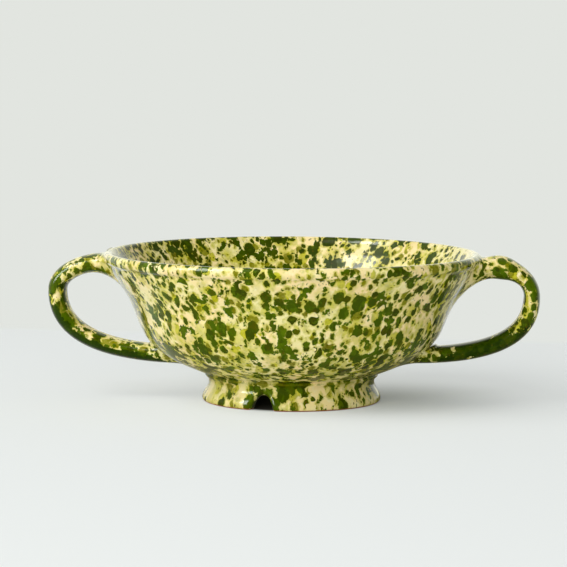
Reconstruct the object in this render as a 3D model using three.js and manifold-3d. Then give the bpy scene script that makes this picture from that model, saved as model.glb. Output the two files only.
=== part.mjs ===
// Colander: a thrown earthenware bowl on a flared foot ring, with two pulled strap handles.
// Millimetres, +Z up. The foot stands on z = 0, the handles lie along X.
import * as THREE from 'three';
import { mergeVertices } from 'three/addons/utils/BufferGeometryUtils.js';
import Module from 'manifold-3d';

// Bowl, outside of the wall from the floor up to the lip
const floorFlatRadius = 40;
const undersideHeight = 13;
const jointRadius = 57.5;
const jointHeight = 18.5;
const bellyRadius = 88.8;
const bellyHeight = 32.9;
const shoulderRadius = 103.2;
const shoulderHeight = 47.1;
const neckRadius = 111.6;
const neckHeight = 66.8;
const flareRadius = 122;
const flareHeight = 84.8;
const rimRadius = 132;
const rimHeight = 104.5;
const lipThickness = 7;
const lipDepth = 8;
const lipUnderAngle = THREE.MathUtils.degToRad(-60);
const lipCrestAngle = THREE.MathUtils.degToRad(90);
const lipInnerAngle = THREE.MathUtils.degToRad(160);
const wallThickness = 6.5;

// Drain holes, in rings on the flat of the floor
const drainHoleRadius = 2.5;
const drainRings = 3;
const drainRingSpacing = 11.5;
const holesAddedPerRing = 6;

// Foot ring
const footTopRadius = 59;
const footWaistRadius = 57.8;
const footWaistHeight = 13;
const footFlareRadius = 62.4;
const footFlareHeight = 3;
const footLandOuter = 61;
const footLandInner = 52.5;
const footInnerRadius = 50;

// Arches cut through the foot so that water runs out
const archCount = 3;
const firstArchAngle = THREE.MathUtils.degToRad(-104);
const archWidth = 14;
const archHeight = 9.5;
const archMouthSpread = 5.5;
const archMouthRise = 2.5;

// Strap handles: the centreline of the straps, in the XZ plane
const strapWidth = 25;
const strapSquareness = 0.78;
const handleReach = 34.4;
const handleOutHeight = 75.5;
const upperRootRise = 17.2;
const upperWeb = 7.5;
const upperWebLength = 22;
const lowerRootPull = 61;
const lowerRootRise = 5.5;
const lowerBow = 28.8;
const lowerWeb = 3;
const lowerWebLength = 9;
const rootEmbed = 18;
const rootSpread = 5;
const rootFillet = 0.5;

// Each strap was pulled and set by hand, so the two differ a little
const leftUpperRootDrop = 17.8;
const leftUpperRootPull = 18.5;
const leftUpperBow = 18;
const leftUpperThickness = 12.7;
const leftLowerThickness = 11.4;
const leftLowerRootHeight = 26.8;
const rightUpperRootDrop = 19;
const rightUpperRootPull = 26.3;
const rightUpperBow = 21.7;
const rightUpperThickness = 13.6;
const rightLowerThickness = 10.6;
const rightLowerRootHeight = 28.8;

// Gap left between a luted piece and the bowl, and how far a cutter runs past what it cuts
const lutingGap = 0.3;
const cutOvershoot = 6.2;

// Glaze
const wallGlaze = 0x9a9a4e;
const strapGlaze = 0x6f7f38;
const glazeRoughness = 0.15;

// How finely the round forms are faceted
const bowlSegments = 72;
const footSegments = 72;
const holeSegments = 12;
const wallSteps = 15;
const lipSteps = 8;
const strapSteps = 34;
const strapSides = 18;
const archSteps = 10;

const wasm = await Module();
wasm.setup();

function toSolid(geometry) {
  geometry.deleteAttribute('normal');
  geometry.deleteAttribute('uv');
  const merged = mergeVertices(geometry, 1e-4);
  const corners = merged.index.array;
  const triVerts = [];
  for (let i = 0; i < corners.length; i += 3) {
    const [a, b, c] = corners.subarray(i, i + 3);
    if (a !== b && b !== c && c !== a) triVerts.push(a, b, c);
  }
  const mesh = new wasm.Mesh({
    numProp: 3,
    vertProperties: merged.attributes.position.array,
    triVerts: new Uint32Array(triVerts),
  });
  return new wasm.Manifold(mesh);
}

function toNode(name, solid, color) {
  const { vertProperties, triVerts } = solid.getMesh();
  const geometry = new THREE.BufferGeometry();
  geometry.setAttribute('position', new THREE.BufferAttribute(vertProperties, 3));
  geometry.setIndex(new THREE.BufferAttribute(triVerts, 1));
  geometry.computeVertexNormals();
  const material = new THREE.MeshStandardMaterial({ color, roughness: glazeRoughness, metalness: 0 });
  const node = new THREE.Mesh(geometry, material);
  node.name = name;
  return node;
}

// Turns an outline of radius and height about the Z axis
function revolve(outline, segments) {
  return toSolid(new THREE.LatheGeometry(outline, segments).rotateX(Math.PI / 2));
}

// Skins a row of closed rings and closes both ends
function loft(rings) {
  const sides = rings[0].length;
  const last = (rings.length - 1) * sides;
  const index = [];
  for (let ring = 0; ring < rings.length - 1; ring++) {
    for (let side = 0; side < sides; side++) {
      const a = ring * sides + side;
      const b = ring * sides + ((side + 1) % sides);
      index.push(a, b, a + sides);
      index.push(b, b + sides, a + sides);
    }
  }
  for (let side = 1; side < sides - 1; side++) {
    index.push(0, side + 1, side);
    index.push(last, last + side, last + side + 1);
  }
  return toSolid(new THREE.BufferGeometry().setFromPoints(rings.flat()).setIndex(index));
}

// The bowl's outside, from the edge of the flat floor to the root of the lip
const lipCentre = new THREE.Vector2(rimRadius - lipThickness / 2, rimHeight - lipDepth / 2);
const wallCurve = new THREE.SplineCurve([
  new THREE.Vector2(floorFlatRadius, undersideHeight),
  new THREE.Vector2(jointRadius, jointHeight),
  new THREE.Vector2(bellyRadius, bellyHeight),
  new THREE.Vector2(shoulderRadius, shoulderHeight),
  new THREE.Vector2(neckRadius, neckHeight),
  new THREE.Vector2(flareRadius, flareHeight),
  new THREE.Vector2(lipCentre.x, rimHeight - lipDepth),
]);

// Points along the wall, moved out from its outside by the given amount
function wallPoints(offset) {
  const points = [];
  for (let step = 0; step <= wallSteps; step++) {
    const at = wallCurve.getPointAt(step / wallSteps);
    const along = wallCurve.getTangentAt(step / wallSteps);
    points.push(new THREE.Vector2(at.x + along.y * offset, at.y - along.x * offset));
  }
  return points;
}

// The rounded lip, from under its outer edge up to the crest or over it
function lipPoints(offset, lastAngle) {
  const points = [];
  for (let step = 0; step <= lipSteps; step++) {
    const angle = THREE.MathUtils.lerp(lipUnderAngle, lastAngle, step / lipSteps);
    const radius = lipCentre.x + (lipThickness / 2 + offset) * Math.cos(angle);
    const height = lipCentre.y + (lipDepth / 2 + offset) * Math.sin(angle);
    points.push(new THREE.Vector2(radius, height));
  }
  return points;
}

function onAxis(height) {
  return new THREE.Vector2(0, height);
}

function drainHoles() {
  const drill = new THREE.CylinderGeometry(
    drainHoleRadius,
    drainHoleRadius,
    wallThickness + 2 * cutOvershoot,
    holeSegments,
  );
  drill.rotateX(Math.PI / 2);
  drill.translate(0, 0, undersideHeight + wallThickness / 2);
  const hole = toSolid(drill);
  const holes = [hole];
  for (let ring = 1; ring <= drainRings; ring++) {
    const count = ring * holesAddedPerRing;
    for (let place = 0; place < count; place++) {
      const angle = (place / count) * Math.PI * 2;
      const radius = ring * drainRingSpacing;
      holes.push(hole.translate([radius * Math.cos(angle), radius * Math.sin(angle), 0]));
    }
  }
  return wasm.Manifold.union(holes);
}

function makeBowl() {
  const outline = [
    onAxis(undersideHeight),
    ...wallPoints(0),
    ...lipPoints(0, lipInnerAngle),
    ...wallPoints(-wallThickness).reverse(),
    onAxis(undersideHeight + wallThickness),
  ];
  return revolve(outline, bowlSegments).subtract(drainHoles());
}

// The space the bowl takes up with the luting gap round it, filled to the axis
function makeSeat() {
  const outline = [
    onAxis(undersideHeight - lutingGap),
    ...wallPoints(lutingGap),
    ...lipPoints(lutingGap, lipCrestAngle),
    onAxis(rimHeight + lutingGap),
  ];
  return revolve(outline, bowlSegments);
}

// An arch through the foot, wider and taller at its mouth on the outside
function archCutter(angle) {
  const outward = new THREE.Vector3(Math.cos(angle), Math.sin(angle), 0);
  const along = new THREE.Vector3(-Math.sin(angle), Math.cos(angle), 0);
  const cutStart = footInnerRadius - cutOvershoot;
  const cutEnd = footFlareRadius + cutOvershoot;
  const rings = [];
  for (let step = 0; step <= archSteps; step++) {
    const radius = THREE.MathUtils.lerp(cutStart, cutEnd, step / archSteps);
    const mouth = Math.max(0, (radius - footLandInner) / (footFlareRadius - footLandInner)) ** 2;
    const halfWidth = archWidth / 2 + archMouthSpread * mouth;
    const height = archHeight + archMouthRise * mouth;
    const ring = [];
    for (let corner = 0; corner <= archSteps; corner++) {
      const turn = (corner / archSteps) * Math.PI;
      const point = outward.clone().multiplyScalar(radius);
      point.addScaledVector(along, halfWidth * Math.cos(turn));
      point.z = height * Math.sin(turn);
      ring.push(point);
    }
    ring.push(ring[archSteps].clone().setZ(-archHeight));
    ring.push(ring[0].clone().setZ(-archHeight));
    rings.push(ring);
  }
  return loft(rings);
}

function makeFootRing(seat) {
  const side = new THREE.SplineCurve([
    new THREE.Vector2(footLandOuter, 0),
    new THREE.Vector2(footFlareRadius, footFlareHeight),
    new THREE.Vector2(footWaistRadius, footWaistHeight),
    new THREE.Vector2(footTopRadius, jointHeight),
  ]);
  const topHeight = jointHeight + wallThickness / 2;
  const outline = [
    ...side.getPoints(archSteps),
    new THREE.Vector2(footTopRadius, topHeight),
    new THREE.Vector2(footInnerRadius, topHeight),
    new THREE.Vector2(footInnerRadius, undersideHeight),
    new THREE.Vector2(footLandInner, 0),
    new THREE.Vector2(footLandOuter, 0),
  ];
  let foot = revolve(outline, footSegments).subtract(seat);
  for (let place = 0; place < archCount; place++) {
    const angle = firstArchAngle + (place / archCount) * Math.PI * 2;
    foot = foot.subtract(archCutter(angle));
  }
  return foot;
}

// How far out the wall or the lip is at a height
function wallRadiusAt(height) {
  const points = [...wallPoints(0), ...lipPoints(0, lipCrestAngle)];
  const above = points.findIndex((point) => point.y >= height);
  const low = points[above - 1];
  const high = points[above];
  const share = (height - low.y) / (high.y - low.y);
  return THREE.MathUtils.lerp(low.x, high.x, share);
}

// The strap leaves the wall under the lip, bows out and comes back to the belly
function strapCentreline(strap) {
  const upperRootHeight = rimHeight - strap.upperRootDrop;
  const upperRoot = new THREE.Vector2(wallRadiusAt(upperRootHeight) - rootEmbed, upperRootHeight);
  const upperLead = new THREE.Vector2(upperRoot.x + strap.upperRootPull, upperRoot.y + upperRootRise);
  const outermost = new THREE.Vector2(rimRadius + handleReach, handleOutHeight);
  const lowerHeight = strap.lowerRootHeight;
  const underRadius = wallRadiusAt(lowerHeight - strap.lowerThickness / 2);
  const lowerRoot = new THREE.Vector2(underRadius - rootEmbed, lowerHeight + lowerRootRise);
  const lowerLead = new THREE.Vector2(wallRadiusAt(lowerHeight) + lowerRootPull, lowerHeight);
  const path = new THREE.CurvePath();
  path.add(
    new THREE.CubicBezierCurve(
      upperRoot,
      upperLead,
      new THREE.Vector2(outermost.x, outermost.y + strap.upperBow),
      outermost,
    ),
  );
  path.add(
    new THREE.CubicBezierCurve(
      outermost,
      new THREE.Vector2(outermost.x, outermost.y - lowerBow),
      lowerLead,
      lowerRoot,
    ),
  );
  return path;
}

// A rounded strap section across the centreline, with its inner face towards the loop
function strapRing(centre, along, innerHalf, outerHalf, halfWidth) {
  const ring = [];
  for (let side = 0; side < strapSides; side++) {
    const angle = (side / strapSides) * Math.PI * 2;
    const cosine = Math.cos(angle);
    const sine = Math.sin(angle);
    const half = cosine > 0 ? innerHalf : outerHalf;
    const through = Math.sign(cosine) * Math.abs(cosine) ** strapSquareness * half;
    const across = Math.sign(sine) * Math.abs(sine) ** strapSquareness * halfWidth;
    ring.push(new THREE.Vector3(centre.x + along.y * through, across, centre.y - along.x * through));
  }
  return ring;
}

function makeHandle(seat, turn, strap) {
  const path = strapCentreline(strap);
  const rings = [];
  for (let step = 0; step <= strapSteps; step++) {
    const share = step / strapSteps;
    const centre = path.getPointAt(share);
    const along = path.getTangentAt(share);
    const upper = centre.y > handleOutHeight;
    const web = upper ? upperWeb : lowerWeb;
    const webLength = upper ? upperWebLength : lowerWebLength;
    const fromWall = Math.max(0, centre.x - wallRadiusAt(centre.y));
    const closeness = Math.max(0, 1 - fromWall / webLength) ** 2;
    const half = THREE.MathUtils.lerp(strap.upperThickness, strap.lowerThickness, share) / 2;
    const outerHalf = upper ? half + rootFillet * closeness : half;
    const halfWidth = strapWidth / 2 + rootSpread * closeness;
    rings.push(strapRing(centre, along, half + web * closeness, outerHalf, halfWidth));
  }
  return loft(rings).rotate([0, 0, turn]).subtract(seat);
}

const leftStrap = {
  upperRootDrop: leftUpperRootDrop,
  upperRootPull: leftUpperRootPull,
  upperBow: leftUpperBow,
  upperThickness: leftUpperThickness,
  lowerThickness: leftLowerThickness,
  lowerRootHeight: leftLowerRootHeight,
};
const rightStrap = {
  upperRootDrop: rightUpperRootDrop,
  upperRootPull: rightUpperRootPull,
  upperBow: rightUpperBow,
  upperThickness: rightUpperThickness,
  lowerThickness: rightLowerThickness,
  lowerRootHeight: rightLowerRootHeight,
};

const seat = makeSeat();
const colander = new THREE.Group();
colander.name = 'colander';
colander.add(toNode('bowl', makeBowl(), wallGlaze));
colander.add(toNode('foot_ring', makeFootRing(seat), wallGlaze));
colander.add(toNode('left_handle', makeHandle(seat, 180, leftStrap), strapGlaze));
colander.add(toNode('right_handle', makeHandle(seat, 0, rightStrap), strapGlaze));

export default colander;
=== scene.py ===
import math
import bpy
import numpy as np
from mathutils import Matrix, Vector
from mathutils.geometry import delaunay_2d_cdt


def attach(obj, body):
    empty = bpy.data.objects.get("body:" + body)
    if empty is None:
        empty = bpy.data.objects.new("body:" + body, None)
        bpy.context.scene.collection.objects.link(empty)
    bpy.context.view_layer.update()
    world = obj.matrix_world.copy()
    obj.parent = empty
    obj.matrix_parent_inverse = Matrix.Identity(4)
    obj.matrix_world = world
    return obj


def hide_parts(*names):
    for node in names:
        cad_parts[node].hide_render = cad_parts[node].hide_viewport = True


# Colander: splatter-glazed earthenware on a pale table.
# Shapes are worked out in millimetres in the frame of the solids and go into Blender in metres.
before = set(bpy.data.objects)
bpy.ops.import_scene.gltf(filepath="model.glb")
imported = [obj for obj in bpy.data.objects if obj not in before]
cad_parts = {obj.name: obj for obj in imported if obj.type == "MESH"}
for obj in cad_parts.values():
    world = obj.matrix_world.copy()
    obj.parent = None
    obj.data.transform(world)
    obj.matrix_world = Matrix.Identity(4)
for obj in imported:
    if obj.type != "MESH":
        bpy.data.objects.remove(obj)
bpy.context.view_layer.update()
mm = 0.001


# Shader wiring: a socket that does sums, and one way to add any other node
class Wire:
    def __init__(self, tree, socket=None):
        self.tree = tree
        self.socket = socket

    def node(self, kind, settings=None, sockets=None, out=0):
        made = self.tree.nodes.new(kind)
        for name, value in (settings or {}).items():
            setattr(made, name, value)
        for name, value in (sockets or {}).items():
            if isinstance(value, Wire):
                self.tree.links.new(value.socket, made.inputs[name])
            else:
                made.inputs[name].default_value = value
        return Wire(self.tree, made.outputs[out] if len(made.outputs) else None)

    def also(self, out):  # another output of the same node
        return Wire(self.tree, self.socket.node.outputs[out])

    def sum(self, operation, first, second=0.0):
        return self.node("ShaderNodeMath", {"operation": operation}, {0: first, 1: second})

    def __add__(self, other):
        return self.sum("ADD", self, other)

    def __radd__(self, other):
        return self.sum("ADD", other, self)

    def __sub__(self, other):
        return self.sum("SUBTRACT", self, other)

    def __rsub__(self, other):
        return self.sum("SUBTRACT", other, self)

    def __mul__(self, other):
        return self.sum("MULTIPLY", self, other)

    def __rmul__(self, other):
        return self.sum("MULTIPLY", other, self)

    def __truediv__(self, other):
        return self.sum("DIVIDE", self, other)

    def __rtruediv__(self, other):
        return self.sum("DIVIDE", other, self)

    def __gt__(self, other):
        return self.sum("GREATER_THAN", self, other)

    def __abs__(self):
        return self.sum("ABSOLUTE", self)

    def most(self, other):
        return self.sum("MAXIMUM", self, other)

    def least(self, other):
        return self.sum("MINIMUM", self, other)

    def ease(self, low, high):  # 0 below low, 1 above high, smooth between
        return self.node("ShaderNodeMapRange", {"interpolation_type": "SMOOTHSTEP"},
                         {"Value": self, "From Min": low, "From Max": high})

    def blend(self, under, over):  # this socket is the share of the colour on top
        return self.node("ShaderNodeMix", {"data_type": "RGBA"}, {0: self, 6: under, 7: over}, out=2)

    def shift(self, operation, other):  # sums on vectors
        key = "Scale" if operation == "SCALE" else 1
        return self.node("ShaderNodeVectorMath", {"operation": operation}, {0: self, key: other})

    def toward(self, direction):  # how far this vector goes that way
        return self.node("ShaderNodeVectorMath", {"operation": "DOT_PRODUCT"},
                         {0: self, 1: direction}, out="Value")

    def length(self):
        return self.node("ShaderNodeVectorMath", {"operation": "LENGTH"}, {0: self}, out="Value")

    def noise(self, size, detail=2.0, rough=0.5):  # size of the lumps, in the units of this place
        return self.node("ShaderNodeTexNoise", None,
                         {"Vector": self, "Scale": 1 / size, "Detail": detail, "Roughness": rough})


def paint(colour):  # red, green and blue as they look on the pot, 0 to 255
    shares = (value / 255 for value in colour)
    return tuple(v / 12.92 if v <= 0.04045 else ((v + 0.055) / 1.055) ** 2.4 for v in shares) + (1.0,)


def newMaterial(name):
    material = bpy.data.materials.new(name)
    material.use_nodes = True
    tree = material.node_tree
    tree.nodes.clear()
    return material, Wire(tree)


# The drain arches: the foot is cut by them, and more drops lie round them, partly the glaze and partly
# painted shade at the openings
archCount = 3
firstArch = math.radians(-104)
archTurns = [firstArch + 2 * math.pi * i / archCount for i in range(archCount)]

# The glaze: cream slip, a yellow-green wash, then drops of green flicked on in several sizes.
# Pairs are where something starts and where it is complete; sizes and heights are in millimetres.
glaze = dict(
    # colours
    cream=(239, 228, 164), warmCream=(246, 219, 162), paleCream=(246, 240, 196),
    wash=(199, 193, 38), deepWash=(160, 156, 2), thin=(128, 128, 0), thick=(100, 98, 0),
    dark=(70, 93, 0), deep=(52, 62, 0), leaf=(92, 117, 4), olive=(84, 76, 0), insideDark=(38, 50, 0),
    dipped=(32, 52, 0), speck=(86, 74, 10), pinholeAndGlint=(176, 184, 104), clay=(176, 108, 66),
    # how far the drops wander and run, and how they mix
    wanders=((9.0, 2.0), (2.4, 1.0), (0.9, 0.4)), run=0.72, footRun=0.52, clump=17.0, halo=(-1.3, 0.1),
    cloud=26.0, cloudy=(0.35, 0.7), grain=3.2, grainy=(0.35, 0.7), pale=(0.5, 0.75), paleMost=0.5,
    washLeast=0.5, haloMost=0.68, thinLeast=0.78, thinGrain=(0.3, 0.7), speckMost=0.85, pinholeAndGlintMost=0.6,
    mottle=4.0, leafy=(0.48, 0.7), leafMost=0.75, oliveShift=(20, 70, 30), olives=(0.52, 0.7), oliveMost=0.6,
    splash=9.0, splashes=(0.58, 0.605), splashExtra=0.25,
    patch=19.0, patchShift=(90, 40, 10), patches=(0.48, 0.62), patchMost=0.55, patchLip=0.3,
    # more or fewer drops from place to place
    # inside the bowl the drops are more and deeper in colour, partly the glaze and partly painted shade;
    # toward the inside right they are fewer, partly a painted highlight
    lipHeights=(95.5, 99.0), lipThin=0.04, innerFacing=(0.1, -0.2), insideMost=0.55,
    insideExtra=0.1, insideThin=0.36, insideFar=(30.0, 95.0),
    lowHeights=(60.0, 30.0), lowExtra=0.08, lowBeside=0.16, middle=(20.0, 75.0), middleThin=0.04,
    # an even wash tone over the foot is painted shade under the bowl
    footHeights=(19.0, 16.0), footShadeWash=0.1, footThin=0.19, archNear=(15.0, 10.0), archDark=0.5,
    poolHeight=18.4, poolReach=1.5, poolRadius=66.0, poolGrain=(0.3, 0.6), poolMost=0.75,
    # the straps, which stand clear of the belly and the wall
    bellyLine=(1.0, 56.0), wallLine=(0.54, 76.7), strapClear=(2.0, 8.0), strapExtra=0.24,
    leftShift=(5.0, 60.0, 0.0), leftExtra=-0.04, leftHigher=24.0, topBare=0.3, leftDepth=0.95,
    dipHeights=(68.0, 44.0), dipRight=0.46, dipLeft=0.3, dipUnder=0.6, dipRoot=0.4, dipClear=(6.0, 24.0),
    dipLump=9.0, dipLevel=0.78, dipSoft=0.03, dipStreaks=(0.42, 0.62), dipVary=0.45,
    # the bare edge of the foot
    bareEdge=0.9, bareSpread=0.5, bareSoft=0.15, bareLump=2.5, grit=0.5, gritDepth=0.12, clayRough=0.8,
    # gloss and relief
    gloss=0.08, glossSpread=0.08, index=1.5, sheen=0.1, coatRough=0.12,
    coat=0.1, wave=7.0, ripple=2.2, waviness=0.035, ripples=0.25, relief=0.03, thinRelief=0.5,
    veil=(0.42, 0.8), veilHeights=(24.0, 50.0), veilLow=0.04, veilMost=0.6, veilFoot=0.5,
    veilLipHeights=(93.0, 101.0), veilLip=0.25, veilStrap=0.75,
)
washDrops = [
    dict(cell=14.0, small=3.0, large=6.4, keep=0.55, clumped=1.2, soft=1.2, seed=(31, 7, 12)),
    dict(cell=8.0, small=1.6, large=4.0, keep=0.6, clumped=1.2, soft=0.7, seed=(3, 45, 21)),
]
thinDrops = [
    dict(cell=10.0, small=1.6, large=4.4, keep=0.68, clumped=1.6, soft=0.7, seed=(14, 5, 33)),
    dict(cell=5.5, small=0.8, large=2.4, keep=0.64, clumped=1.8, soft=0.4, seed=(51, 19, 2)),
]
darkDrops = [
    dict(cell=13.0, small=1.8, large=5.8, keep=0.72, clumped=2.6, soft=0.3, seed=(8, 27, 40)),
    dict(cell=9.5, small=1.3, large=4.6, keep=0.7, clumped=2.6, soft=0.3, seed=(71, 33, 4)),
    dict(cell=6.4, small=0.8, large=3.1, keep=0.68, clumped=2.6, soft=0.25, seed=(22, 60, 9)),
    dict(cell=4.2, small=0.5, large=2.0, keep=0.6, clumped=2.6, soft=0.2, seed=(37, 11, 58)),
]
specks = [dict(cell=2.6, small=0.2, large=0.8, keep=0.4, clumped=1.0, soft=0.15, seed=(5, 66, 17))]
# pale specks in the dark drops: pinholes that show the slip, partly painted glints
pinholesAndGlints = [dict(cell=3.4, small=0.12, large=0.42, keep=0.5, clumped=0.0, soft=0.2, seed=(64, 2, 29))]


def potPlaces(start):  # where on the pot a point lies
    place = start.node("ShaderNodeTexCoord", out="Object").shift("SCALE", 1 / mm)
    side = place.node("ShaderNodeSeparateXYZ", None, {"Vector": place})
    height = side.also("Z")
    belly, wall = (height * lean + reach for lean, reach in (glaze["bellyLine"], glaze["wallLine"]))
    clear = abs(side) - belly.least(wall)
    strap = clear.ease(*glaze["strapClear"])
    facing = start.node("ShaderNodeNewGeometry", out="Normal")
    flat = place.shift("MULTIPLY", (1, 1, 0))
    outward = facing.toward(flat.shift("NORMALIZE", (0, 0, 0)))
    return dict(
        place=place, side=side, height=height, radius=flat.length(), clear=clear, strap=strap, right=side > 0,
        lip=height.ease(*glaze["lipHeights"]) * (1 - strap),
        inner=outward.ease(*glaze["innerFacing"]) * (1 - strap),
        under=facing.toward((0, 0, -1)), onFoot=height.ease(*glaze["footHeights"]))


def dropPlaces(at):  # the drops have lobed edges, run a little down the wall and lie in clumps
    place = at["place"]
    below = (glaze["footHeights"][0] - at["height"]).most(0) * (glaze["run"] - glaze["footRun"])
    longer = place.node("ShaderNodeCombineXYZ", None, {"Z": below})
    spot = place.shift("MULTIPLY", (1, 1, glaze["run"])).shift("ADD", longer)
    for size, reach in glaze["wanders"]:
        sway = place.noise(size, 1.5).also("Color").shift("SUBTRACT", (0.5, 0.5, 0.5))
        spot = spot.shift("ADD", sway.shift("SCALE", 2 * reach))
    onLeft = (at["strap"] > 0.5) * (1 - at["right"])
    shift = place.node("ShaderNodeVectorMath", {"operation": "SCALE"},
                       {0: glaze["leftShift"], "Scale": onLeft})
    clump = place.shift("ADD", shift).noise(glaze["clump"]) - 0.5
    return spot.shift("ADD", shift), clump


def dropExtra(at):  # how much more likely a drop is than on the middle of the wall
    side, strap, inner, onFoot = (at[name] for name in ("side", "strap", "inner", "onFoot"))
    # inside the bowl: more drops, partly painted shade, and fewer toward the right side, partly a painted
    # highlight
    inside = glaze["insideExtra"] - side.ease(*glaze["insideFar"]) * glaze["insideThin"]
    beside = abs(side).ease(*glaze["middle"])
    wall = at["height"].ease(*glaze["lowHeights"]) * (glaze["lowExtra"] + glaze["lowBeside"] * beside)
    wall = wall - glaze["middleThin"] * (1 - beside)
    onStrap = glaze["strapExtra"] + (1 - at["right"]) * glaze["leftExtra"]
    extra = strap * onStrap - at["lip"] * glaze["lipThin"] + inner * inside
    extra = extra + wall * (1 - onFoot) * (1 - inner) * (1 - strap) - onFoot * glaze["footThin"]
    # beside each arch on the foot, more drops: partly the glaze, partly painted shade round the opening
    for turn in archTurns:
        across = at["place"].toward((-math.sin(turn), math.cos(turn), 0))
        ahead = at["place"].toward((math.cos(turn), math.sin(turn), 0))
        extra = extra + abs(across).ease(*glaze["archNear"]) * (ahead > 0) * onFoot * glaze["archDark"]
    return extra


def dippedGlaze(at, spot):  # the straps were dipped low down, and have fewer drops on top there
    strap, right, under = at["strap"], at["right"], at["under"]
    low = (at["height"] - (1 - right) * glaze["leftHigher"]).ease(*glaze["dipHeights"])
    left = glaze["dipLeft"] + under * glaze["dipUnder"]
    amount = left + right * (glaze["dipRight"] - left)
    bare = (under * strap * low).least(0) * glaze["topBare"]
    reach = low * (glaze["dipRoot"] + (1 - glaze["dipRoot"]) * at["clear"].ease(*glaze["dipClear"]))
    lumps = spot.noise(glaze["dipLump"], 3.0, 0.6)
    dip = (reach * amount + lumps - glaze["dipLevel"]).ease(0, glaze["dipSoft"]) * strap
    return dip, bare


def dropLayer(spot, drops, clump, extra):  # the drops, the stain round them and how deep their colour is
    body = halo = tone = None
    for drop in drops:
        cells = {"Vector": spot.shift("ADD", drop["seed"]), "Scale": 1 / drop["cell"], "Randomness": 1.0}
        field = spot.node("ShaderNodeTexVoronoi", {"feature": "F1"}, cells)
        chance = field.node("ShaderNodeSeparateColor", None, {"Color": field.also("Color")})
        radius = drop["small"] + (drop["large"] - drop["small"]) * chance
        there = (clump * drop["clumped"] + extra + drop["keep"]) > chance.also("Green")
        inside = radius - field * drop["cell"]
        shape = inside.ease(0, drop["soft"]) * there
        ring = inside.ease(*glaze["halo"]) * there
        shade = chance.also("Blue") * shape
        body = shape if body is None else body.most(shape)
        halo = ring if halo is None else halo.most(ring)
        tone = shade if tone is None else tone.most(shade)
    return body, halo, tone


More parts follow.
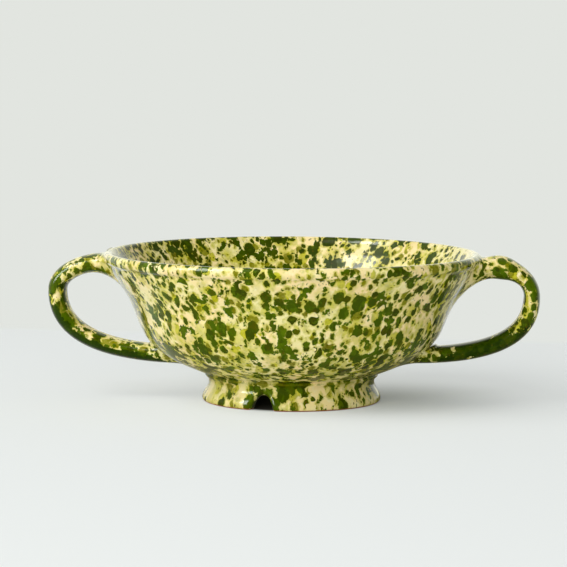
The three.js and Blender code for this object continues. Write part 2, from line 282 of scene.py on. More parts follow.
def splatterGlaze(name):
    material, start = newMaterial(name)
    at = potPlaces(start)
    place, height, inner, onFoot = (at[key] for key in ("place", "height", "inner", "onFoot"))
    spot, clump = dropPlaces(at)
    dip, bare = dippedGlaze(at, spot)
    extra = dropExtra(at) + bare

    wash, _, washTone = dropLayer(spot, washDrops, clump, extra)
    thin, thinHalo, thinTone = dropLayer(spot, thinDrops, clump, extra)
    dark, darkHalo, darkTone = dropLayer(spot, darkDrops, clump, extra)
    fleck = dropLayer(spot, specks, clump, extra)[0]
    pinholeAndGlint = dropLayer(spot, pinholesAndGlints, clump, 0.0)[0]
    splash = spot.noise(glaze["splash"], 3.0, 0.58) + extra * glaze["splashExtra"]
    dark = dark.most(dip).most(splash.ease(*glaze["splashes"]))
    patch = spot.shift("ADD", glaze["patchShift"]).noise(glaze["patch"], 3.0, 0.55).ease(*glaze["patches"])
    patch = patch * (glaze["patchMost"] - glaze["patchLip"] * at["lip"])
    wash = wash * (glaze["washLeast"] + (1 - glaze["washLeast"]) * washTone)
    # the even wash tone over the whole foot is painted shade from the bowl above it
    wash = wash.most(patch).most(onFoot * glaze["footShadeWash"])

    # the colours from the slip up
    cloud = place.noise(glaze["cloud"], 3.0)
    grain = place.noise(glaze["grain"], 3.0, 0.6)
    mottle = spot.noise(glaze["mottle"], 3.0, 0.6)
    brown = spot.shift("ADD", glaze["oliveShift"]).noise(glaze["mottle"] * 2, 3.0, 0.6)
    colour = cloud.ease(*glaze["cloudy"]).blend(paint(glaze["cream"]), paint(glaze["warmCream"]))
    colour = (grain.ease(*glaze["pale"]) * glaze["paleMost"]).blend(colour, paint(glaze["paleCream"]))
    washColour = grain.ease(*glaze["grainy"]).blend(paint(glaze["wash"]), paint(glaze["deepWash"]))
    colour = wash.blend(colour, washColour)
    colour = (thinHalo.most(darkHalo) * glaze["haloMost"]).blend(colour, washColour)
    thinColour = thinTone.blend(paint(glaze["thin"]), paint(glaze["thick"]))
    thinShare = glaze["thinLeast"] + (1 - glaze["thinLeast"]) * grain.ease(*glaze["thinGrain"])
    colour = (thin * thinShare).blend(colour, thinColour)
    darkColour = darkTone.blend(paint(glaze["dark"]), paint(glaze["deep"]))
    darkColour = (mottle.ease(*glaze["leafy"]) * glaze["leafMost"]).blend(darkColour, paint(glaze["leaf"]))
    darkColour = (brown.ease(*glaze["olives"]) * glaze["oliveMost"]).blend(darkColour, paint(glaze["olive"]))
    # the drops inside the bowl are deeper: partly a deeper green of the glaze, partly painted shade
    darkColour = (inner * glaze["insideMost"]).blend(darkColour, paint(glaze["insideDark"]))
    # pale specks in the dark drops: pinholes showing the slip, partly painted glints
    darkColour = (pinholeAndGlint * glaze["pinholeAndGlintMost"]).blend(darkColour, paint(glaze["pinholeAndGlint"]))
    depth = glaze["leftDepth"] + (1 - glaze["leftDepth"]) * at["right"]
    depth = depth * (1 - glaze["dipVary"] * brown.ease(*glaze["dipStreaks"]))
    darkColour = (dip * depth).blend(darkColour, paint(glaze["dipped"]))
    colour = dark.blend(colour, darkColour)
    colour = (fleck * glaze["speckMost"]).blend(colour, paint(glaze["speck"]))
    pool = abs(height - glaze["poolHeight"]).ease(glaze["poolReach"], 0)
    pool = pool * (1 - (at["radius"] > glaze["poolRadius"]))
    colour = (pool * grain.ease(*glaze["poolGrain"]) * glaze["poolMost"]).blend(colour, thinColour)

    # the foot stands on bare clay
    edge = height + (place.noise(glaze["bareLump"]) - 0.5) * (2 * glaze["bareSpread"])
    glazed = edge.ease(glaze["bareEdge"] - glaze["bareSoft"], glaze["bareEdge"] + glaze["bareSoft"])
    colour = glazed.blend(paint(glaze["clay"]), colour)
    shine = glaze["gloss"] + glaze["glossSpread"] * cloud
    roughness = glaze["clayRough"] - glazed * (glaze["clayRough"] - shine)

    waves = place.noise(glaze["wave"]) + place.noise(glaze["ripple"], 1.5) * glaze["ripples"]
    drops = (dark + thin * glaze["thinRelief"]) * glaze["relief"]
    grit = place.noise(glaze["grit"], 3.0) * glaze["gritDepth"]
    level = glazed * (waves * glaze["waviness"] + drops + glaze["coat"]) + (1 - glazed) * grit
    bump = start.node("ShaderNodeBump", None, {"Height": level, "Distance": mm, "Strength": 1.0})

    # the clear glaze mirrors most where it is seen aslant
    veil = start.node("ShaderNodeLayerWeight", None, {"Blend": 0.5}, out="Facing").ease(*glaze["veil"])
    share = glaze["veilLow"] + (glaze["veilMost"] - glaze["veilLow"]) * height.ease(*glaze["veilHeights"])
    share = share + glaze["veilFoot"] * onFoot + glaze["veilLip"] * height.ease(*glaze["veilLipHeights"])
    veil = veil * share * glazed * (1 - glaze["veilStrap"] * at["strap"])
    surface = start.node("ShaderNodeBsdfPrincipled", None, {
        "Base Color": colour, "Roughness": roughness, "IOR": glaze["index"],
        "Specular IOR Level": glaze["sheen"], "Normal": bump,
        "Coat Weight": veil, "Coat Roughness": glaze["coatRough"]})
    start.node("ShaderNodeOutputMaterial", None, {"Surface": surface})
    return material


splatter = splatterGlaze("splatter glaze")
print("glaze mixed")


# Curves, turned forms and meshes
potHeight = 104.5
handFeel = dict(
    oval=0.28, ovalTurn=0.7, trefoil=0.15, trefoilTurn=2.2, rimLift=0.3, liftTurn=1.1,
    lumps=0.12, lumpRise=0.06, lumpTwist=0.08, throwing=0.035, throwingPitch=6.5, fadeRadius=40,
)


def byHand(points):  # the small unevenness of a hand-made pot, the same for every piece
    x, y, z = points.T
    radius, turn = np.hypot(x, y), np.arctan2(y, x)
    high = np.clip(z / potHeight, 0, 1)
    out = -handFeel["oval"] * high * (1 + np.sin(2 * turn + handFeel["ovalTurn"])) / 2
    out -= handFeel["trefoil"] * high * (1 + np.sin(3 * turn + handFeel["trefoilTurn"])) / 2
    lumps = np.sin(5 * turn + handFeel["lumpRise"] * z) * np.sin(handFeel["lumpTwist"] * z - 2 * turn)
    out -= handFeel["lumps"] * high * (1 + lumps) / 2
    out -= handFeel["throwing"] * high * (1 + np.sin(2 * math.pi * z / handFeel["throwingPitch"] + turn))
    fade = np.clip(radius / handFeel["fadeRadius"], 0, 1)
    scale = 1 + out * fade / np.maximum(radius, 1)
    lift = -handFeel["rimLift"] * high ** 2 * (1 + np.sin(2 * turn + handFeel["liftTurn"])) / 2
    return np.column_stack([x * scale, y * scale, z + lift])


def evenly(points, spacing):  # the same line with its points evenly spread
    along = np.r_[0, np.cumsum(np.linalg.norm(np.diff(points, axis=0), axis=1))]
    stops = np.linspace(0, along[-1], round(along[-1] / spacing) + 1)
    return np.column_stack([np.interp(stops, along, column) for column in points.T])


def smoothCurve(stations, spacing):  # a natural cubic spline through the stations
    p = np.array(stations, float)
    at = np.r_[0, np.cumsum(np.linalg.norm(np.diff(p, axis=0), axis=1))]
    gap = np.diff(at)
    count = len(p)
    stiff, load = np.eye(count), np.zeros_like(p)
    for i in range(1, count - 1):
        stiff[i, i - 1:i + 2] = gap[i - 1], 2 * (gap[i - 1] + gap[i]), gap[i]
        load[i] = 6 * ((p[i + 1] - p[i]) / gap[i] - (p[i] - p[i - 1]) / gap[i - 1])
    bend = np.linalg.solve(stiff, load)
    t = np.linspace(0, at[-1], 40 * count)
    i = np.clip(np.searchsorted(at, t, side="right") - 1, 0, count - 2)
    h = gap[i][:, None]
    a = (at[i + 1] - t)[:, None] / h
    b = 1 - a
    fine = a * p[i] + b * p[i + 1] + ((a ** 3 - a) * bend[i] + (b ** 3 - b) * bend[i + 1]) * h * h / 6
    return evenly(fine, spacing)


def gridFaces(rows, columns, closed=False):  # rows of points, each row a closed loop
    faces = []
    for row in range(rows if closed else rows - 1):
        after = (row + 1) % rows
        for column in range(columns):
            nextColumn = (column + 1) % columns
            faces.append((row * columns + column, row * columns + nextColumn,
                          after * columns + nextColumn, after * columns + column))
    return faces


def turned(outline, segments):  # an outline of radius and height, turned about the axis
    turn = np.linspace(0, 2 * math.pi, segments, endpoint=False)
    ring = np.column_stack([np.cos(turn), np.sin(turn)])
    return np.concatenate([np.column_stack([radius * ring, np.full(segments, height)])
                           for radius, height in outline])


def newMesh(name, points, faces):
    mesh = bpy.data.meshes.new(name)
    mesh.from_pydata((np.asarray(points) * mm).tolist(), [], faces)
    mesh.validate()
    mesh.polygons.foreach_set("use_smooth", [True] * len(mesh.polygons))
    return mesh


def addPiece(name, mesh, node):
    piece = bpy.data.objects.new(name, mesh)
    bpy.context.scene.collection.objects.link(piece)
    mesh.materials.clear()
    mesh.materials.append(splatter)
    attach(piece, "root")
    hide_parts(node)
    print("made", name, len(mesh.polygons), "faces")
    return piece


# Bowl: wall, lip and pierced floor
bowl = dict(
    wall=[(38.6, 13), (42, 13.2), (57.5, 18.5), (88.8, 32.9), (103.2, 47.1), (111.6, 66.8), (122, 84.8),
          (126.9, 93.2)],
    lip=[(128.4, 95.8), (130.5, 97.3), (131.8, 99.9), (131.5, 102.3), (130.2, 103.8), (128.3, 104.25),
         (126.4, 103.3), (125.0, 101.1)],
    thickness=6.5, fineSpacing=0.5, spacing=1.3, segments=240,
    insideFrom=6, insideStations=14, belowCrest=0.3,
    rimClear=1.0, holeClear=0.7, holeSlack=0.15, mouthSteps=5,
    holeRadius=2.5, holeRings=3, ringSpacing=11.5, holesPerRing=6, holeSegments=24, holeRound=1.0,
    holeDrift=0.35, holeSpread=0.12, floorSpacing=2.2, seed=11,
)


def bowlOutline():
    wall = smoothCurve(bowl["wall"], bowl["fineSpacing"])
    along = np.gradient(wall, axis=0)
    along /= np.linalg.norm(along, axis=1)[:, None]
    inside = wall + bowl["thickness"] * np.column_stack([-along[:, 1], along[:, 0]])
    picks = np.linspace(len(inside) - bowl["insideFrom"], 0, bowl["insideStations"])
    stations = inside[picks.round().astype(int)]
    stations[-1] = bowl["wall"][0][0], bowl["wall"][0][1] + bowl["thickness"]
    return smoothCurve([*bowl["wall"], *bowl["lip"], *map(tuple, stations)], bowl["spacing"])


outline = bowlOutline()
crest = int(np.argmax(outline[:, 1]))


def wallAt(height):  # radius and lean of the outside at a height
    outside = outline[:crest + 1]
    lean = np.gradient(outside[:, 0], outside[:, 1])
    height = np.clip(height, outside[1, 1], outside[-1, 1] - bowl["belowCrest"])
    return np.interp(height, outside[:, 1], outside[:, 0]), np.interp(height, outside[:, 1], lean)


def holeCentres(draw):
    centres = [(0.0, 0.0)]
    for ring in range(1, bowl["holeRings"] + 1):
        count = ring * bowl["holesPerRing"]
        for place in range(count):
            turn = 2 * math.pi * place / count
            drift = draw.normal(0, bowl["holeDrift"], 2)
            radius = ring * bowl["ringSpacing"]
            centres.append((radius * math.cos(turn) + drift[0], radius * math.sin(turn) + drift[1]))
    return np.array(centres)


def floorFaces(rim, loops, centres, reach):  # triangles between the rim and the holes
    flat = np.concatenate([rim, *loops])
    edges, first = [], 0
    for loop in (rim, *loops):
        count = len(loop)
        edges += [(first + i, first + (i + 1) % count) for i in range(count)]
        first += count
    rimRadius = np.hypot(*rim[0])
    ticks = np.arange(-rimRadius, rimRadius, bowl["floorSpacing"])
    grid = np.array([(x + (row % 2) * bowl["floorSpacing"] / 2, y)
                     for row, y in enumerate(ticks) for x in ticks])
    grid = grid[np.hypot(*grid.T) < rimRadius - bowl["rimClear"]]
    clear = np.linalg.norm(grid[:, None] - centres[None], axis=2).min(axis=1)
    grid = grid[clear > reach + bowl["holeClear"]]
    corners = [Vector(p) for p in np.concatenate([flat, grid]).tolist()]
    points, _, faces, origin, _, _ = delaunay_2d_cdt(corners, edges, [], 0, 1e-6)
    back = [ids[0] for ids in origin]
    middle = np.array([[sum(points[i][axis] for i in face) / 3 for axis in (0, 1)] for face in faces])
    clear = np.linalg.norm(middle[:, None] - centres[None], axis=2).min(axis=1)
    solid = clear > reach - bowl["holeSlack"]
    return grid, [tuple(back[i] for i in face) for face, keep in zip(faces, solid) if keep]


def makeBowl():
    draw = np.random.default_rng(bowl["seed"])
    segments, rounding = bowl["segments"], bowl["holeRound"]
    points = [turned(outline, segments)]
    faces = gridFaces(len(outline), segments)
    total = len(points[0])

    # the drain holes: rounded at the top and underneath
    centres = holeCentres(draw)
    radii = bowl["holeRadius"] + draw.normal(0, bowl["holeSpread"], len(centres))
    under, over = outline[0, 1], outline[-1, 1]
    turn = np.linspace(0, 2 * math.pi, bowl["holeSegments"], endpoint=False)
    circle = np.column_stack([np.cos(turn), np.sin(turn)])
    arc = np.linspace(0, math.pi / 2, bowl["mouthSteps"])
    mouth = [(rounding * (1 - math.sin(a)), rounding * (1 - math.cos(a))) for a in arc]
    reach = bowl["holeRadius"] + rounding
    firstRings, lastRings, loops = [], [], []
    for centre, radius in zip(centres, radii):
        rows = [(max(radius + wide, 0), over - deep) for wide, deep in mouth]
        rows += [(max(radius + wide, 0), under + deep) for wide, deep in reversed(mouth)]
        rows[0], rows[-1] = (reach, over), (reach, under)
        tube = np.concatenate([np.column_stack([centre + r * circle, np.full(len(turn), z)])
                               for r, z in rows])
        faces += [tuple(total + i for i in face) for face in gridFaces(len(rows), len(turn))]
        firstRings.append(total + np.arange(len(turn)))
        lastRings.append(total + (len(rows) - 1) * len(turn) + np.arange(len(turn)))
        loops.append(centre + reach * circle)
        points.append(tube)
        total += len(tube)

    # the flat of the floor, above and below
    flats = ((len(outline) - 1, firstRings, over, False), (0, lastRings, under, True))
    for ringStart, rings, height, flip in flats:
        rim = points[0][ringStart * segments:(ringStart + 1) * segments, :2]
        grid, triangles = floorFaces(rim, loops, centres, reach)
        rimIndex = ringStart * segments + np.arange(segments)
        index = np.concatenate([rimIndex, *rings, total + np.arange(len(grid))])
        points.append(np.column_stack([grid, np.full(len(grid), height)]))
        total += len(grid)
        for triangle in triangles:
            face = tuple(int(index[i]) for i in triangle)
            faces.append(face[::-1] if flip else face)
    return newMesh("bowl", byHand(np.concatenate(points)), faces)


addPiece("glazed_bowl", makeBowl(), "bowl")


# Foot ring, cut by three arches with soft edges
foot = dict(
    side=[(61.2, 0), (62.2, 1.0), (62.4, 3.0), (61.3, 6.2), (59.3, 9.6), (58.0, 12.6), (57.9, 14.8),
          (58.8, 16.6), (60.2, 17.6), (60.9, 18.7), (60.2, 19.9)],
    root=[(58.5, 21.0), (51.5, 19.4)],
    hollow=[(50.1, 16.6), (50.4, 13.0), (51.6, 5.0), (52.4, 1.2), (53.2, 0)],
    archWidth=15.6, archHeight=10.2, archPoint=1.3, archEnds=0.04, archBelow=-20, flareHeights=(1, 15),
    roll=5.0, rollMost=0.98, rollRise=4.0, rollPast=1.0,
    archDeep=18.0, archPast=5.0, archRows=44, archSteps=24,
    sideSpacing=0.7, voxel=0.65, softening=20, softFactor=0.5, segments=240,
)


def archCutter(turn, side):  # its edge rolls outward along the flared side of the foot
    rows = []
    for depth in np.linspace(foot["archDeep"], -foot["archPast"], foot["archRows"]):
        inRoll = np.clip(1 - depth / foot["roll"], 0, foot["rollMost"])
        past = max(0.0, -depth) * foot["rollPast"]
        flare = 1 - math.sqrt(1 - inRoll ** 2)
        half = foot["archWidth"] / 2 + foot["roll"] * flare + past
        height = foot["archHeight"] + foot["rollRise"] * flare
        swing = np.linspace(foot["archEnds"], math.pi - foot["archEnds"], foot["archSteps"])
        across, up = half * np.cos(swing), height * np.sin(swing) ** foot["archPoint"]
        across, up = np.r_[across, -half, half], np.r_[up, [foot["archBelow"]] * 2]
        radius = np.interp(np.clip(up, *foot["flareHeights"]), side[:, 1], side[:, 0]) - depth
        rows.append(np.column_stack([radius * math.cos(turn) - across * math.sin(turn),
                                     radius * math.sin(turn) + across * math.cos(turn), up]))
    count = len(rows[0])
    faces = gridFaces(len(rows), count)
    faces += [tuple(range(count))[::-1], tuple((len(rows) - 1) * count + i for i in range(count))]
    cutter = bpy.data.objects.new("arch cutter", newMesh("arch cutter", np.concatenate(rows), faces))
    bpy.context.scene.collection.objects.link(cutter)
    return cutter


def makeFoot():
    side = smoothCurve(foot["side"], foot["sideSpacing"])
    ring = np.concatenate([foot["hollow"], side, foot["root"]])
    points = turned(ring, foot["segments"])
    faces = gridFaces(len(ring), foot["segments"], closed=True)
    rough = bpy.data.objects.new("foot rough", newMesh("foot rough", points, faces))
    bpy.context.scene.collection.objects.link(rough)
    cutters = [archCutter(turn, side) for turn in archTurns]
    for cutter in cutters:
        cut = rough.modifiers.new("arch", "BOOLEAN")
        cut.operation, cut.solver, cut.object = "DIFFERENCE", "EXACT", cutter
    even = rough.modifiers.new("even", "REMESH")
    even.mode, even.voxel_size = "VOXEL", foot["voxel"] * mm
    soft = rough.modifiers.new("soft", "SMOOTH")
    soft.factor, soft.iterations = foot["softFactor"], foot["softening"]
    bpy.context.view_layer.update()
    shaped = rough.evaluated_get(bpy.context.evaluated_depsgraph_get())
    mesh = bpy.data.meshes.new_from_object(shaped)
    for spare in (rough, *cutters):
        data = spare.data
        bpy.data.objects.remove(spare)
        bpy.data.meshes.remove(data)
    places = np.empty(len(mesh.vertices) * 3)
    mesh.vertices.foreach_get("co", places)
    places = byHand(places.reshape(-1, 3) / mm)
    places[:, 2] = np.maximum(places[:, 2], 0)
    mesh.vertices.foreach_set("co", (places * mm).ravel())
    mesh.polygons.foreach_set("use_smooth", [True] * len(mesh.polygons))
    mesh.name = "foot ring"
    return mesh


addPiece("glazed_foot", makeFoot(), "foot_ring")


# Strap handles: pulled straps with their roots smoothed into the wall
strap = dict(
    width=25.0, squareness=0.9, outHeight=75.5, upperRise=17.2, lowerPull=61.0, lowerRise=5.5,
    embed=18.0, leadIn=30.0, spacing=0.4, sides=56, rings=200, sunk=1.6, swayAcross=0.5, swayTurns=5,
    upperFillet=dict(inner=20.0, side=8.0, outer=3.0), lowerFillet=dict(inner=5.0, side=7.0, outer=4.0),
    filletPower=1.5, filletTries=40,
    hump=0.0, humpInside=0.6, humpPlace=0.205, humpLength=0.042, waist=0.0, waistPlace=0.32, waistLength=0.07,
)
rightStrap = dict(
    strap, turn=0.0, reach=167.2, upperDrop=19.0, upperPull=26.3, upperBow=21.7, upperThick=13.6,
    lowerThick=11.0, lowerHeight=28.8, lowerBow=26.8, hump=2.2, waist=0.8,
)
leftStrap = dict(
    strap, turn=math.pi, reach=166.1, upperDrop=18.1, upperPull=18.5, upperBow=18.0, upperThick=12.7,
    lowerThick=12.6, lowerHeight=26.2, lowerBow=30.0,
)


def bezier(a, b, c, d, count=400):
    t = np.linspace(0, 1, count)[:, None]
    a, b, c, d = (np.array(p, float) for p in (a, b, c, d))
    return a * (1 - t) ** 3 + 3 * b * t * (1 - t) ** 2 + 3 * c * t ** 2 * (1 - t) + d * t ** 3


def strapLine(pull):  # radius and height of the middle of the strap
    high, low = potHeight - pull["upperDrop"], pull["lowerHeight"]
    top = (wallAt(high)[0] - strap["embed"], high)
    outermost = (pull["reach"], strap["outHeight"])
    end = (wallAt(low - pull["lowerThick"] / 2)[0] - strap["embed"], low + strap["lowerRise"])
    upper = bezier(top, (top[0] + pull["upperPull"], top[1] + strap["upperRise"]),
                   (outermost[0], outermost[1] + pull["upperBow"]), outermost)
    lower = bezier(outermost, (outermost[0], outermost[1] - pull["lowerBow"]),
                   (wallAt(low)[0] + strap["lowerPull"], low), end)
    ahead = np.array([pull["upperPull"], strap["upperRise"]])
    # the line starts deep in the wall, so that the whole web ends on the wall
    lead = np.array(top) - strap["leadIn"] * ahead / np.linalg.norm(ahead)
    return evenly(np.concatenate([[lead], upper, lower[1:]]), strap["spacing"])


def wallGap(points):  # distance to the outside of the wall, less than 0 inside it
    radius, lean = wallAt(points[..., 2])
    return (np.hypot(points[..., 0], points[..., 1]) - radius) / np.sqrt(1 + lean ** 2)


def makeHandle(name, pull):
    line = strapLine(pull)
    along = np.gradient(line, axis=0)
    along /= np.linalg.norm(along, axis=1)[:, None]
    length = np.arange(len(line), dtype=float)
    lead = strap["leadIn"] / strap["spacing"]
    swing = np.linspace(0, 2 * math.pi, strap["sides"], endpoint=False)
    cosine, sine, square = np.cos(swing), np.sin(swing), strap["squareness"]
    inward = np.sign(cosine) * np.abs(cosine) ** square
    across = np.sign(sine) * np.abs(sine) ** square
    power = 2 / square - 1
    faceIn = np.sign(cosine) * np.abs(inward) ** power / pull["upperThick"]
    faceAcross = np.sign(sine) * np.abs(across) ** power / strap["width"]
    size = np.hypot(faceIn, faceAcross)
    faceIn, faceAcross = faceIn / size, faceAcross / size

    def fillet(sizes):
        inside, outside = (np.maximum(way * cosine, 0) ** strap["filletPower"] for way in (1, -1))
        return (sizes["side"] + (sizes["inner"] - sizes["side"]) * inside
                + (sizes["outer"] - sizes["side"]) * outside)

    def skin(stop):  # points and outward directions at places along the strap
        x, z, ax, az = (np.interp(stop, length, column) for column in (*line.T, *along.T))
        share = np.maximum(stop - lead, 0) / (length[-1] - lead)
        half = (pull["upperThick"] + (pull["lowerThick"] - pull["upperThick"]) * share) / 2
        rise = pull["hump"] * np.exp(-((share - pull["humpPlace"]) / pull["humpLength"]) ** 2)
        half = half - pull["waist"] * np.exp(-((share - pull["waistPlace"]) / pull["waistLength"]) ** 2)
        through = inward * (half + rise * np.where(inward < 0, 1, pull["humpInside"]))
        sway = strap["swayAcross"] * np.sin(strap["swayTurns"] * share + pull["turn"])
        spots = np.stack([x + az * through, across * strap["width"] / 2 + sway, z - ax * through], axis=-1)
        faces = np.stack([az * faceIn, np.broadcast_to(faceAcross, x.shape), -ax * faceIn], axis=-1)
        return spots, faces

    # where each strand of the skin meets the wall at its upper and lower end
    middle = int(np.argmax(line[:, 0]))
    stops = np.broadcast_to(length[:, None], (len(length), strap["sides"]))
    spots, faces = skin(stops)
    upperFillet, lowerFillet = fillet(strap["upperFillet"]), fillet(strap["lowerFillet"])
    toTop, toEnd = np.arange(middle, 0, -1), np.arange(middle, len(line) - 1)
    ends = []
    for size, order in ((upperFillet, toTop), (lowerFillet, toEnd)):
        gap = wallGap(spots + faces * size[None, :, None])
        first = np.argmax(gap[order] <= 0, axis=0)
        after, before = order[first], order[first - 1]
        columns = np.arange(strap["sides"])
        share = gap[before, columns] / (gap[before, columns] - gap[after, columns])
        ends.append(before + (after - before) * share)
    steps = np.linspace(0, 1, strap["rings"])[:, None]
    steps = steps * steps * (3 - 2 * steps)
    stop = ends[0] + (ends[1] - ends[0]) * steps
    spots, faces = skin(stop)
    reach = np.where(stop < middle, upperFillet, lowerFillet)

    # the fillet grows out of the strap until it lies on the wall
    low, high = np.zeros_like(reach), reach.copy()
    for _ in range(strap["filletTries"]):
        grow = (low + high) / 2
        gap = wallGap(spots + faces * grow[..., None])
        short = np.sqrt(grow) + np.sqrt(np.maximum(gap, 0)) < np.sqrt(reach)
        low, high = np.where(short, grow, low), np.where(short, high, grow)
    grow = np.where(wallGap(spots) >= reach, 0, (low + high) / 2)
    spots = spots + faces * grow[..., None]

    def sunken(ring):  # the same loop a little inside the wall
        lean = wallAt(ring[:, 2])[1]
        out = ring[:, :2] / np.linalg.norm(ring[:, :2], axis=1)[:, None]
        inward = np.column_stack([out, -lean]) / np.sqrt(1 + lean ** 2)[:, None]
        return ring - strap["sunk"] * inward

    rows = np.concatenate([sunken(spots[0])[None], spots, sunken(spots[-1])[None]])
    count = strap["sides"]
    sides = gridFaces(len(rows), count)
    sides += [tuple(range(count))[::-1], tuple((len(rows) - 1) * count + i for i in range(count))]
    points = rows.reshape(-1, 3)
    cosine, sine = math.cos(pull["turn"]), math.sin(pull["turn"])
    points[:, :2] = points[:, :2] @ np.array([[cosine, sine], [-sine, cosine]])
    return newMesh(name, byHand(points), sides)


addPiece("right_strap", makeHandle("right_strap", rightStrap), "right_handle")
addPiece("left_strap", makeHandle("left_strap", leftStrap), "left_handle")


# Table, light and camera
stage = dict(
    table=(236, 239, 237), wall=(226, 229, 224), tableSize=14.0, turn=math.radians(6),
    tableGlow=0.58, glowCentre=(70, 10, 0), glowFar=(10.0, 120.0), glowLeast=0.32,
    footFar=(52.0, 64.0), paintedShadowUnderFoot=(70, 68, 60),
    edgeLeft=(-246, 425), edgeRight=(225, 346), edgeSoft=14.0,
    mirroredTable=(206, 198, 164), mirroredBehind=(255, 255, 252),
    behind=(-0.3, 0.95, 0), behindFar=(80.0, 190.0), sideFar=(50.0, 150.0),
    ambient=0.36, ambientColour=(248, 254, 253), brightSide=(-0.75, 0.66, 0), brightTurn=(-0.6, 0.4),
    brightRoom=(226, 227, 212), brightLevel=1.4, dimRoom=(84, 79, 58), dimLevel=1.0,
)
lampAim = Vector((0, 0, 0.06))
lamps = [
    dict(name="key", toward=(-0.64, -0.36, 0.64), far=3.0, size=(2.4, 2.4), level=0.68),
    dict(name="front", toward=(-0.18, -0.93, 0.34), far=3.0, size=(1.6, 1.6), level=0.42, mirrored=False),
    dict(name="window", toward=(-0.75, -0.38, 0.54), far=2.8, size=(1.1, 2.1), level=3.6, lights=False),
]


def makeTable():
    half = stage["tableSize"] / 2 / mm
    corners = np.array([(-half, -half, 0), (half, -half, 0), (half, half, 0), (-half, half, 0)])
    table = bpy.data.objects.new("table", newMesh("table", corners, [(0, 1, 2, 3)]))
    bpy.context.scene.collection.objects.link(table)
    material, start = newMaterial("table")
    spin = Matrix.Rotation(stage["turn"], 2)
    left, right = (spin @ Vector(stage[end]) for end in ("edgeLeft", "edgeRight"))
    edge = (right - left).normalized()
    away = Vector((-edge.y, edge.x, 0))
    place = start.node("ShaderNodeTexCoord", out="Object").shift("SCALE", 1 / mm)
    beyond = place.toward(away) - away.to_2d().dot(left)
    mask = beyond.ease(-stage["edgeSoft"], stage["edgeSoft"])
    # inside the foot ring the table is painted dark: a painted shadow
    clear = place.length().ease(*stage["footFar"])
    ground = clear.blend(paint(stage["paintedShadowUnderFoot"]), paint(stage["table"]))
    rays = start.node("ShaderNodeLightPath", out="Is Camera Ray")
    # the sides of the pot mirror the table, which in reflections alone is painted bright behind the pot and
    # on its left and warmer and darker elsewhere: a painted reflection
    around = Matrix.Rotation(stage["turn"], 3, "Z")
    behind, leftward = (place.toward(around @ Vector(stage[way])) for way in ("behind", "brightSide"))
    lit = behind.ease(*stage["behindFar"]).most(leftward.ease(*stage["sideFar"]))
    mirrored = lit.blend(paint(stage["mirroredTable"]), paint(stage["mirroredBehind"]))
    ground = rays.also("Is Glossy Ray").blend(ground, mirrored)
    matt = start.node("ShaderNodeBsdfPrincipled", None,
                      {"Base Color": ground, "Roughness": 1.0, "Specular IOR Level": 0.0})
    # the table glows for the camera alone: painted light that lifts its shadows, least round a point beside
    # the foot on the right, which shapes a painted shadow there, and off inside the foot ring
    glow = start.node("ShaderNodeEmission", None, {"Color": paint(stage["table"]), "Strength": 1.0})
    off = place.shift("SUBTRACT", stage["glowCentre"]).length()
    share = stage["glowLeast"] + (1 - stage["glowLeast"]) * off.ease(*stage["glowFar"])
    share = share * clear * stage["tableGlow"] * rays
    near = start.node("ShaderNodeMixShader", None, {0: share, 1: matt, 2: glow})
    far = start.node("ShaderNodeEmission", None, {"Color": paint(stage["wall"]), "Strength": 1.0})
    both = start.node("ShaderNodeMixShader", None, {0: mask, 1: near, 2: far})
    start.node("ShaderNodeOutputMaterial", None, {"Surface": both})
    table.data.materials.append(material)


def addLamp(name, toward, far, size, level, lights=True, mirrored=True):
    lamp = bpy.data.lights.new(name, "AREA")
    lamp.shape, lamp.size, lamp.size_y = "RECTANGLE", *size
    # level is what the lamp adds to a white surface that faces it
    lamp.energy = level * (math.pi * far) ** 2
    holder = bpy.data.objects.new(name, lamp)
    aim = Vector(toward).normalized()
    aim.rotate(Matrix.Rotation(stage["turn"], 3, "Z"))
    holder.location = aim * far + lampAim
    holder.rotation_euler = aim.to_track_quat("Z", "Y").to_euler()
    # the window only shows mirrored in the glaze
    holder.visible_diffuse, holder.visible_glossy = lights, mirrored
    bpy.context.scene.collection.objects.link(holder)


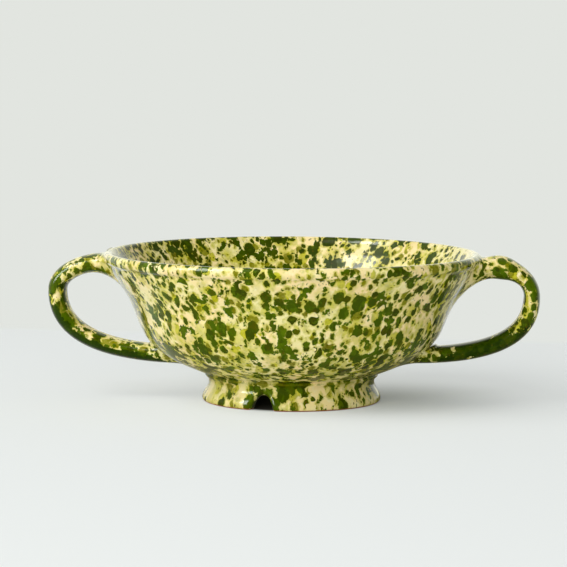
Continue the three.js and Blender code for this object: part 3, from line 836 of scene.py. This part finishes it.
def makeLight():
    for lamp in lamps:
        addLamp(**lamp)
    world = bpy.data.worlds.new("studio")
    bpy.context.scene.world = world
    world.use_nodes = True
    world.node_tree.nodes.clear()
    start = Wire(world.node_tree)
    path = start.node("ShaderNodeLightPath", out="Is Camera Ray")
    room = start.node("ShaderNodeBackground", None,
                      {"Color": paint(stage["ambientColour"]), "Strength": stage["ambient"]})
    back = start.node("ShaderNodeBackground", None, {"Color": paint(stage["wall"]), "Strength": 1.0})
    # the glaze mirrors a bright wall behind and on the left, and a dim room on the right
    look = start.node("ShaderNodeTexCoord", out="Generated")
    brightSide = Matrix.Rotation(stage["turn"], 3, "Z") @ Vector(stage["brightSide"])
    bright = look.toward(brightSide).ease(*stage["brightTurn"])
    dimRoom, brightRoom = (
        start.node("ShaderNodeBackground", None,
                   {"Color": paint(stage[f"{kind}Room"]), "Strength": stage[f"{kind}Level"]})
        for kind in ("dim", "bright"))
    mirror = start.node("ShaderNodeMixShader", None, {0: bright, 1: dimRoom, 2: brightRoom})
    both = start.node("ShaderNodeMixShader", None, {0: path.also("Is Glossy Ray"), 1: room, 2: mirror})
    both = start.node("ShaderNodeMixShader", None, {0: path, 1: both, 2: back})
    start.node("ShaderNodeOutputWorld", None, {"Surface": both})


view = dict(distance=2000.0, tilt=math.radians(5.65), roll=math.radians(0.35), lens=181.94,
            aim=(-6.0, 0.0, 81.72), sensor=36.0, seesTo=100.0)


def makeCamera():
    lens = bpy.data.cameras.new("camera")
    lens.lens, lens.sensor_width, lens.clip_end = view["lens"], view["sensor"], view["seesTo"]
    holder = bpy.data.objects.new("camera", lens)
    up, roll = view["tilt"], view["roll"]
    ahead = Vector((0, math.cos(up), -math.sin(up)))
    right = Vector((1, 0, 0))
    above = right.cross(ahead)
    level = right * math.cos(roll) + above * math.sin(roll)
    upright = above * math.cos(roll) - right * math.sin(roll)
    place = (Vector(view["aim"]) - ahead * view["distance"]) * mm
    axes = Matrix((level, upright, -ahead)).transposed().to_4x4()
    holder.matrix_world = Matrix.Rotation(stage["turn"], 4, "Z") @ Matrix.Translation(place) @ axes
    bpy.context.scene.collection.objects.link(holder)
    bpy.context.scene.camera = holder


makeTable()
makeLight()
makeCamera()
bpy.context.scene.view_settings.view_transform = "Standard"
print("stage set")
